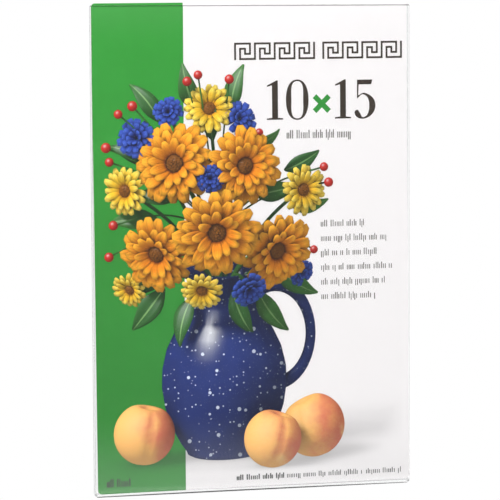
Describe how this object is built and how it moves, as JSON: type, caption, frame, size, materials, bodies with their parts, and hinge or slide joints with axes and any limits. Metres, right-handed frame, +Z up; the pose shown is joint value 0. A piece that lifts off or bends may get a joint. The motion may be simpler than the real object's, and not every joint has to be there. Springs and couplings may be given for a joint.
{
  "type": "magnetic photo frame",
  "caption": "Clear folded plastic pocket for a 4 x 6 inch print, open at the top and sides, with flexible magnet strips on its back for a steel door or cabinet.",
  "frame": {"origin": "centre of the upper magnet strip's back face, which lies on the steel surface that the frame hangs on", "axes": "+Z up, +X to the right as seen from the front, +Y out of the back towards the steel surface; the picture faces -Y"},
  "size_m": [0.1024, 0.0049, 0.1539],
  "materials": {
    "clear_sheet": "polished",
    "printed_card": "satin",
    "magnet": "matte",
    "adhesive": "satin"
  },
  "bodies": {
    "sleeve": {"clear_sleeve": "clear_sheet", "magnet_strip_upper": "magnet", "magnet_strip_lower": "magnet", "adhesive_film_upper": "adhesive", "adhesive_film_lower": "adhesive"},
    "card": {"insert_card": "printed_card"}
  },
  "joints": [
    {"name": "card_slide", "type": "slide", "parent": "sleeve", "child": "card", "axis": [0, 0, 1], "range_m": [0, 0.153]}
  ]
}
